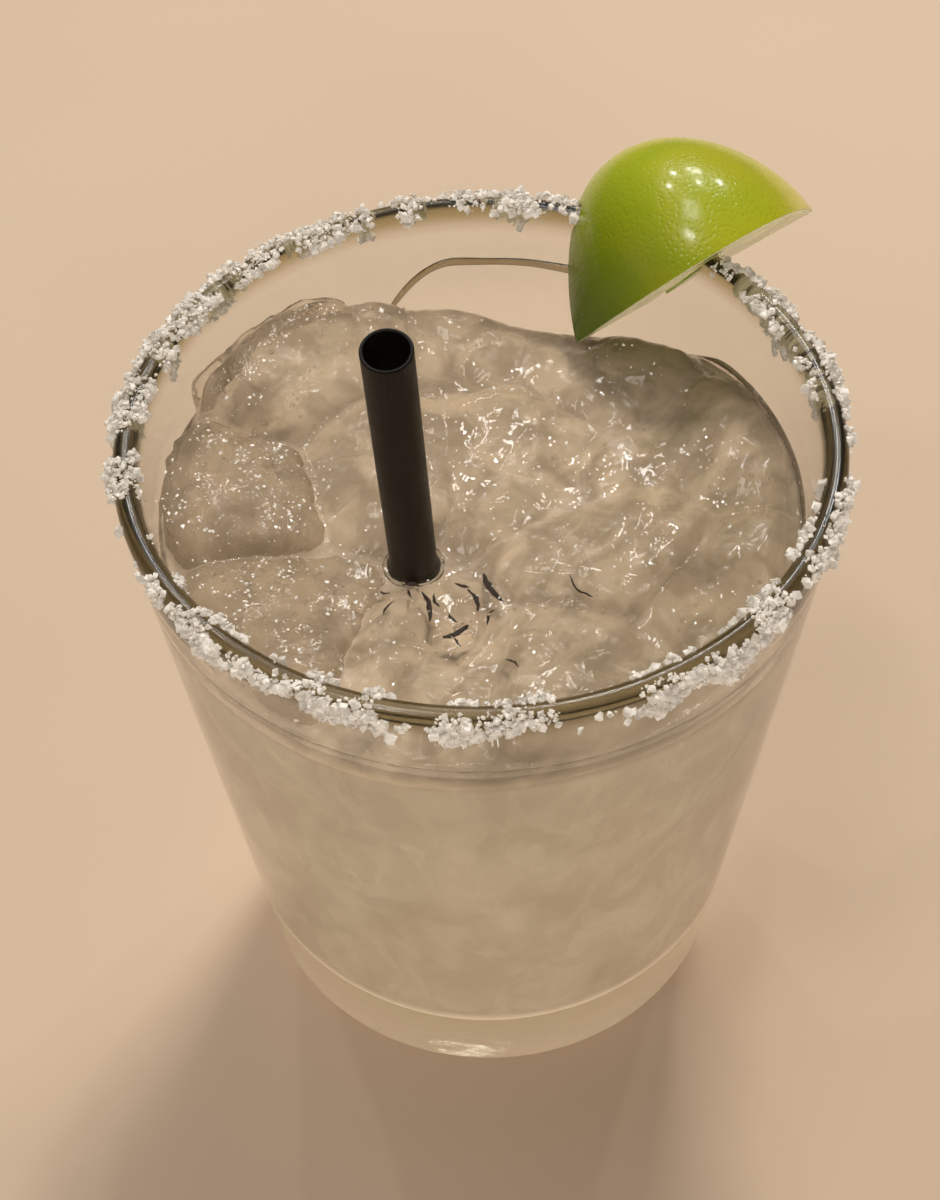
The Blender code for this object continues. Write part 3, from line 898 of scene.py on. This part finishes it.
def buildBubbles(iceHeight):  # small bubbles held in the wet layer
    draw = random.Random(ice["bubbleSeed"])
    smallest, largest = ice["bubbleSizes"]
    upright = Matrix.Identity(3).to_quaternion()
    spots = []
    while len(spots) < ice["bubbles"]:
        x, y = anywhere(draw)
        if draw.random() > 0.3 + ripple(Vector((x, y, 0)), 9.0, 1.0):
            continue
        size = smallest + (largest - smallest) * draw.random() ** 2
        height = wetHeight(x, y, iceHeight) - dipAt(x, y) - size * draw.uniform(0.1, 0.9)
        spots.append((Vector((x, y, height)), size, (1, 1, 1), upright, 0))
    material, shader, place = newMaterial("bubbles", **(clearWater | {"IOR": 1.4}))
    feed(shader, Base_Color=place.cloud(300.0).mixed(*ice["bubbleTones"]))
    beads = scattered("bubbles", [ball(12, 8)], spots, material, smooth=True)
    return belongs(clearPiece(beads), "drink")


# Straw

straw = {
    "mouth": Vector((-9.3, -19.6, 127.0)),
    "atLevel": Vector((-8.3, -10.4, 83.0)),
    "footHeight": 13.8,
    "radius": 2.85,
    "bore": 2.4,
    "edgeRound": 0.12,
    "sides": 72,
    "tones": (tone(9, 6, 4), tone(19, 13, 9)),
}


def buildStraw():
    axis = (straw["mouth"] - straw["atLevel"]).normalized()
    foot = straw["atLevel"] + axis * (straw["footHeight"] - drink["level"]) / axis.z
    length = (straw["mouth"].z - straw["footHeight"]) / axis.z
    outer, bore, edge = straw["radius"], straw["bore"], straw["edgeRound"]
    section = straight((outer, edge), (outer, length - edge), 60)
    section += [(outer, length - edge), (outer - edge, length), (bore + edge, length)]
    section += straight((bore, length - edge), (bore, edge), 60)
    section += [(bore, edge), (bore + edge, 0), (outer - edge, 0)]
    points, faces = turned(section, straw["sides"], closed=True)
    place = Matrix.Translation(foot) @ up.rotation_difference(axis).to_matrix().to_4x4()
    points = [place @ Vector(point) for point in points]
    material, shader, spot = newMaterial("black straw", Roughness=0.42, Specular_IOR_Level=0.2)
    drawn = spot.stretched(1, 1, 0.02).cloud(1400.0, 3.0)
    scuffs = spot.cloud(260.0, 4.0, 0.6)
    feed(shader, Base_Color=scuffs.between(0.4, 0.75).mixed(*straw["tones"]))
    feed(shader, Roughness=scuffs * 0.25 + 0.3)
    feed(shader, Normal=drawn.bump(0.12, 0.0001))
    tube = addMesh("straw_tube", points, faces, material)
    tube.data.set_sharp_from_angle(angle=math.radians(40))
    tube.visible_shadow = False  # the ice scatters the light round it
    return belongs(tube, "straw", "straw")


# The wet ring where the drink climbs the straw, and dark marks painted where the straw is seen
# broken up by the ice

strawFoot = {
    "climb": 1.3,
    "width": 1.0,
    "depth": 0.45,
    "markSides": 8,
    "markSteps": 14,
    "markTones": (tone(22, 15, 10), tone(58, 46, 34)),
    # start, end, width and bend of each mark
    "marks": (
        ((0.1, -12.3), (2.3, -16.8), 0.75, 0.5),
        ((-1.9, -15.3), (-0.7, -18.6), 0.6, -0.4),
        ((-4.9, -23.2), (-1.9, -20.8), 0.8, 0.3),
        ((-7.3, -15.9), (-6.5, -21.0), 0.65, -0.5),
        ((-5.9, -16.2), (-5.3, -18.4), 0.4, 0.2),
        ((-3.5, -22.9), (-2.9, -24.2), 0.35, 0.1),
        ((1.2, -18.2), (0.3, -20.3), 0.35, 0.3),
        ((10.2, -15.4), (12.8, -17.6), 0.3, 0.5),
        ((2.4, -25.8), (3.8, -28.4), 0.3, -0.3),
        ((-9.6, -14.0), (-7.6, -14.3), 0.8, -0.35),
        ((-12.2, -14.9), (-11.0, -16.0), 0.45, 0.2),
        ((-8.9, -15.6), (-8.6, -17.2), 0.4, 0.15),
        ((-3.4, -14.2), (-1.7, -14.9), 0.5, 0.2),
        ((-10.5, -17.8), (-11.8, -20.4), 0.3, 0.3),
        ((-4.1, -19.3), (-3.2, -20.6), 0.45, 0.2),
    ),
}


def buildWetRing():
    base = straw["atLevel"]
    section = []
    for step in range(9):
        share = step / 8
        rise = strawFoot["climb"] * (1 - share) ** 2.4 + 0.15 * (1 - share)
        section.append((straw["radius"] - 0.1 + strawFoot["width"] * share, rise))
    section += [(section[-1][0], -0.7), (section[0][0], -0.7)]
    points, faces = turned(section, straw["sides"], closed=True)
    points = [Vector(point) + base for point in points]
    material, shader, place = newMaterial("wet ring", **clearWater)
    feed(shader, Normal=place.cloud(700.0, 3.0).bump(0.4, 0.0006))
    ring = addMesh("straw_wet_ring", points, faces, material)
    pushOut(ring, lambda point: 0.3 * ripple(point, 1.9, 8.0))
    return belongs(clearPiece(ring), "drink")


def buildStrawMarks(iceHeight):
    points, faces = [], []
    around, steps = strawFoot["markSides"], strawFoot["markSteps"]
    for start, end, width, bend in strawFoot["marks"]:
        start, end = Vector((*start, 0)), Vector((*end, 0))
        side = (end - start).cross(up).normalized()
        first = len(points)
        for step in range(steps + 1):
            share = step / steps
            shake = 0.15 * ripple(start * 3 + up * share * 6, 1.0)
            spot = start.lerp(end, share) + side * (bend * math.sin(math.pi * share) + shake)
            swell = 1 + 0.5 * ripple(start + up * share * 5, 0.8)
            half = width / 2 * math.sin(math.pi * (0.06 + 0.88 * share)) ** 0.7 * swell
            height = wetHeight(spot.x, spot.y, iceHeight) - strawFoot["depth"]
            for corner in range(around):
                angle = math.tau * corner / around
                lift = height + 0.1 * math.sin(angle)
                points.append(spot + side * half * math.cos(angle) + up * lift)
        faces += tubeFaces(first, steps + 1, around)
    look = {"Roughness": 0.5, "Specular_IOR_Level": 0.2}
    material, shader, place = newMaterial("straw seen through ice", **look)
    # painted refraction: dark marks on the wet surface stand in for the straw seen broken up by the
    # ice
    feed(shader, Base_Color=place.cloud(900.0).mixed(*strawFoot["markTones"]))
    return belongs(addMesh("straw_marks", points, faces, material), "straw")


# Lime wedge

lime = {
    "innerTip": Vector((13.0, 25.7, 85.3)),
    "outerTip": Vector((46.06, 47.67, 88.1)),
    "radius": 19.24,
    "roll": -10.0,
    "sector": 90.0,
    "innerBlunt": 0.85,
    "outerBlunt": 0.95,
    "rings": 90,
    "arcSteps": 72,
    "peel": 0.7,
    "pith": 2.0,
    "slitGap": 0.3,
    "slitDepth": 30.0,
    "greenTones": (tone(152, 164, 16), tone(190, 176, 34)),
    # painted shade on the top of the peel, offsetting the light that falls there: its tone and
    # heights
    "shadedTopTone": tone(104, 112, 22),
    "topMetres": (0.094, 0.113),
    # the inner tip's tone: partly greener peel, partly painted shade
    "innerTone": tone(56, 74, 4),
    "pithTones": (tone(214, 220, 168), tone(238, 238, 206)),
    "pulpTones": (tone(150, 168, 70), tone(196, 204, 118)),
}
limeSpan = lime["outerTip"] - lime["innerTip"]
limeAxis = limeSpan.normalized()
limeSide = limeAxis.cross(up).normalized()
limeUp = limeSide.cross(limeAxis)


def limeSection(station):  # the fruit's radius from -1, the inner tip, to 1, the outer tip
    def bulge(at):
        return max(0.0, 1 + at) ** lime["innerBlunt"] * max(0.0, 1 - at) ** lime["outerBlunt"]

    blunt = (lime["innerBlunt"] - lime["outerBlunt"]) / (lime["innerBlunt"] + lime["outerBlunt"])
    return lime["radius"] * bulge(station) / bulge(blunt)


def limeClear(point, reach):  # whether a ball of that reach stays off the wedge
    offset = point - lime["innerTip"]
    along = offset.dot(limeAxis)
    length = limeSpan.length
    if not -reach < along < length + reach:
        return True
    station = min(max(2 * along / length - 1, -0.999), 0.999)
    across, above = offset.dot(limeSide), offset.dot(limeUp)
    if math.hypot(across, above) > limeSection(station) + reach:
        return True
    half = math.radians(lime["sector"] / 2)
    turn = math.atan2(across, above + reach / math.sin(half)) - math.radians(lime["roll"])
    return abs(turn) > half


def wedgeSolid(outside, inside, squeeze):
    # the part of the wedge between two depths under the skin; inside None reaches the core
    rings, arcSteps = lime["rings"], lime["arcSteps"]
    points, rows = [], []
    for ring in range(rings + 1):
        station = -math.cos(math.pi * (ring + 0.5) / (rings + 1)) * (1 - squeeze)
        middle = lime["innerTip"] + limeSpan * (station + 1) / 2
        skin = limeSection(station)
        outer = max(0.05, skin - outside)
        inner = 0.05 if inside is None else max(0.03, min(outer - 0.02, skin - inside))
        row = []
        for radius in (outer, inner):
            steps = range(arcSteps + 1) if radius == outer else range(arcSteps, -1, -1)
            for step in steps:
                turn = math.radians(lime["roll"] + lime["sector"] * (step / arcSteps - 0.5))
                way = math.sin(turn) * limeSide + math.cos(turn) * limeUp
                row.append(len(points))
                points.append(middle + radius * way)
        rows.append(row)
    faces = joined(rows)
    for row in (rows[0][::-1], rows[-1]):
        for spot in range(arcSteps):
            faces.append((row[spot], row[spot + 1], row[-2 - spot], row[-1 - spot]))
    return points, faces


def slitCutter():
    low = tumbler["height"] - lime["slitDepth"]
    lip = arc((lipMiddle, lipHeight), lipRadius + lime["slitGap"], 0.0, 180.0, 10)
    foot = [(innerRadius(low) - lime["slitGap"], low), (outerRadius(low) + lime["slitGap"], low)]
    points, faces = turned(lip + foot, 120, closed=True)
    cutter = addMesh("slit_cutter", points, faces, bpy.data.materials.new("cutter"))
    cutter.hide_render = True
    return cutter


def withSlit(obj, cutter):
    boolean = obj.modifiers.new("slit", "BOOLEAN")
    boolean.operation = "DIFFERENCE"
    boolean.object = cutter
    boolean.solver = "EXACT"
    applyModifiers(obj)
    obj.data.shade_smooth()
    obj.data.set_sharp_from_angle(angle=math.radians(38))
    return obj


def alongAxis(place):  # 0 at the inner tip and 1 at the outer tip, as a wire
    flat = place.node("VectorMath", {"operation": "SUBTRACT"}, {0: place, 1: lime["innerTip"] * mm})
    way = limeAxis / (limeSpan.length * mm)
    return flat.node("VectorMath", {"operation": "DOT_PRODUCT"}, {0: flat, 1: way}, "Value")


def peelMaterial():
    look = {"IOR": 1.42, "Coat_Weight": 0.4, "Coat_Roughness": 0.13}
    material, shader, place = newMaterial("lime peel", **look)
    along = alongAxis(place)
    mottled = place.cloud(85.0, 4.0, 0.55, 0.4)
    pores = place.cells(1500.0)
    ripe = along.between(0.35, 1.05) * 0.75 + mottled.between(0.35, 0.65) * 0.4
    green = ripe.mixed(*lime["greenTones"])
    # darker towards the inner tip: partly greener peel, partly painted shade on the side that turns
    # from the light
    deep = (1 - along).between(0.58, 1.0) * 0.95
    # painted shade: the peel's top is darkened against the light falling on it
    paintedTopShade = place.axis("Z").between(*lime["topMetres"]) * 0.7
    green = paintedTopShade.mixed(green, lime["shadedTopTone"])
    feed(shader, Base_Color=deep.mixed(green, lime["innerTone"]))
    feed(shader, Roughness=mottled * 0.15 + 0.2)
    feed(shader, Normal=pores.between(0.0, 0.55).bump(0.25, 0.00025))
    return material


def pithMaterial():
    material, shader, place = newMaterial("lime pith", Roughness=0.6, IOR=1.4)
    feed(shader, Base_Color=place.cloud(400.0, 3.0).mixed(*lime["pithTones"]))
    feed(shader, Normal=place.cloud(1600.0, 3.0).bump(0.4, 0.0002))
    return material


def pulpMaterial():
    look = {"Roughness": 0.22, "IOR": 1.38, "Coat_Weight": 0.4, "Coat_Roughness": 0.08}
    material, shader, place = newMaterial("lime pulp", **look)
    sacs = place.cloud(260.0, 3.0, 0.5, 1.0)
    feed(shader, Base_Color=sacs.between(0.35, 0.65).mixed(*lime["pulpTones"]))
    feed(shader, Normal=sacs.bump(0.6, 0.0006))
    return material


def buildLime():
    cutter = slitCutter()
    # name, material, the depths that the layer lies between, squeeze at the tips, replaced nodes
    layers = (
        ("lime_peel", peelMaterial(), 0.0, lime["peel"], 0.0, ["lime_wedge"]),
        ("lime_pith", pithMaterial(), lime["peel"], lime["pith"], 0.02, []),
        ("lime_pulp", pulpMaterial(), lime["pith"], None, 0.06, []),
    )
    for name, material, outside, inside, squeeze, nodes in layers:
        layer = addMesh(name, *wedgeSolid(outside, inside, squeeze), material)
        belongs(withSlit(layer, cutter), "lime", *nodes)
    bpy.data.objects.remove(cutter, do_unlink=True)
    print("lime wedge:", len(layers), "layers")


# Tide line left on the inside of the glass by the first fill

tideLine = {
    "arc": (57.0, 107.0),
    "height": 87.3,
    "fallsTo": 81.5,
    "fallArc": 13.0,
    "wander": 0.25,
    "bead": (0.42, 0.8),
    "sides": 160,
    "around": 10,
    "tone": tone(176, 166, 142),
}


def buildTideLine():
    points = []
    sides, around = tideLine["sides"], tideLine["around"]
    start, end = tideLine["arc"]
    low, high = tideLine["bead"]
    for side in range(sides + 1):
        bearing = start + (end - start) * side / sides
        turn = math.radians(bearing)
        spot = Vector((math.cos(turn), math.sin(turn), 0)) * tumbler["rimRadius"]
        fall = max(0.0, 1 - (end - bearing) / tideLine["fallArc"])
        height = tideLine["height"] - (tideLine["height"] - tideLine["fallsTo"]) * fall * fall
        height += tideLine["wander"] * ripple(spot, 9.0, 7.0)
        size = low + (high - low) * (0.5 + 0.5 * ripple(spot, 7.0, 2.0))
        size *= min(1.0, 0.1 + 8 * side / sides)
        for step in range(around):
            angle = math.tau * step / around
            radius = innerRadius(height) + 0.05 + size * 0.7 * math.cos(angle)
            lift = height + size * math.sin(angle)
            points.append((radius * math.cos(turn), radius * math.sin(turn), lift))
    material, shader, place = newMaterial("wet line", Base_Color=tideLine["tone"], **clearWater)
    feed(shader, Normal=place.cloud(900.0).bump(0.1, 0.0002))
    line = addMesh("tide_line", points, tubeFaces(0, sides + 1, around), material)
    return belongs(clearPiece(line), "drink")


bpy.context.scene.view_settings.view_transform = "Standard"
addCamera()
addFloor()
addWorld()
addLamps()
print("camera and studio ready")
buildTumbler()
buildSalt()
clearPieces, frostedPieces = buildIce()
iceHeight = heapHeight(clearPieces, frostedPieces)
buildGlints(frostedPieces, iceHeight)
buildBubbles(iceHeight)
buildWetLayer(iceHeight)
buildDrink(iceHeight)
buildStraw()
buildWetRing()
buildStrawMarks(iceHeight)
buildLime()
buildTideLine()
print("all pieces made")
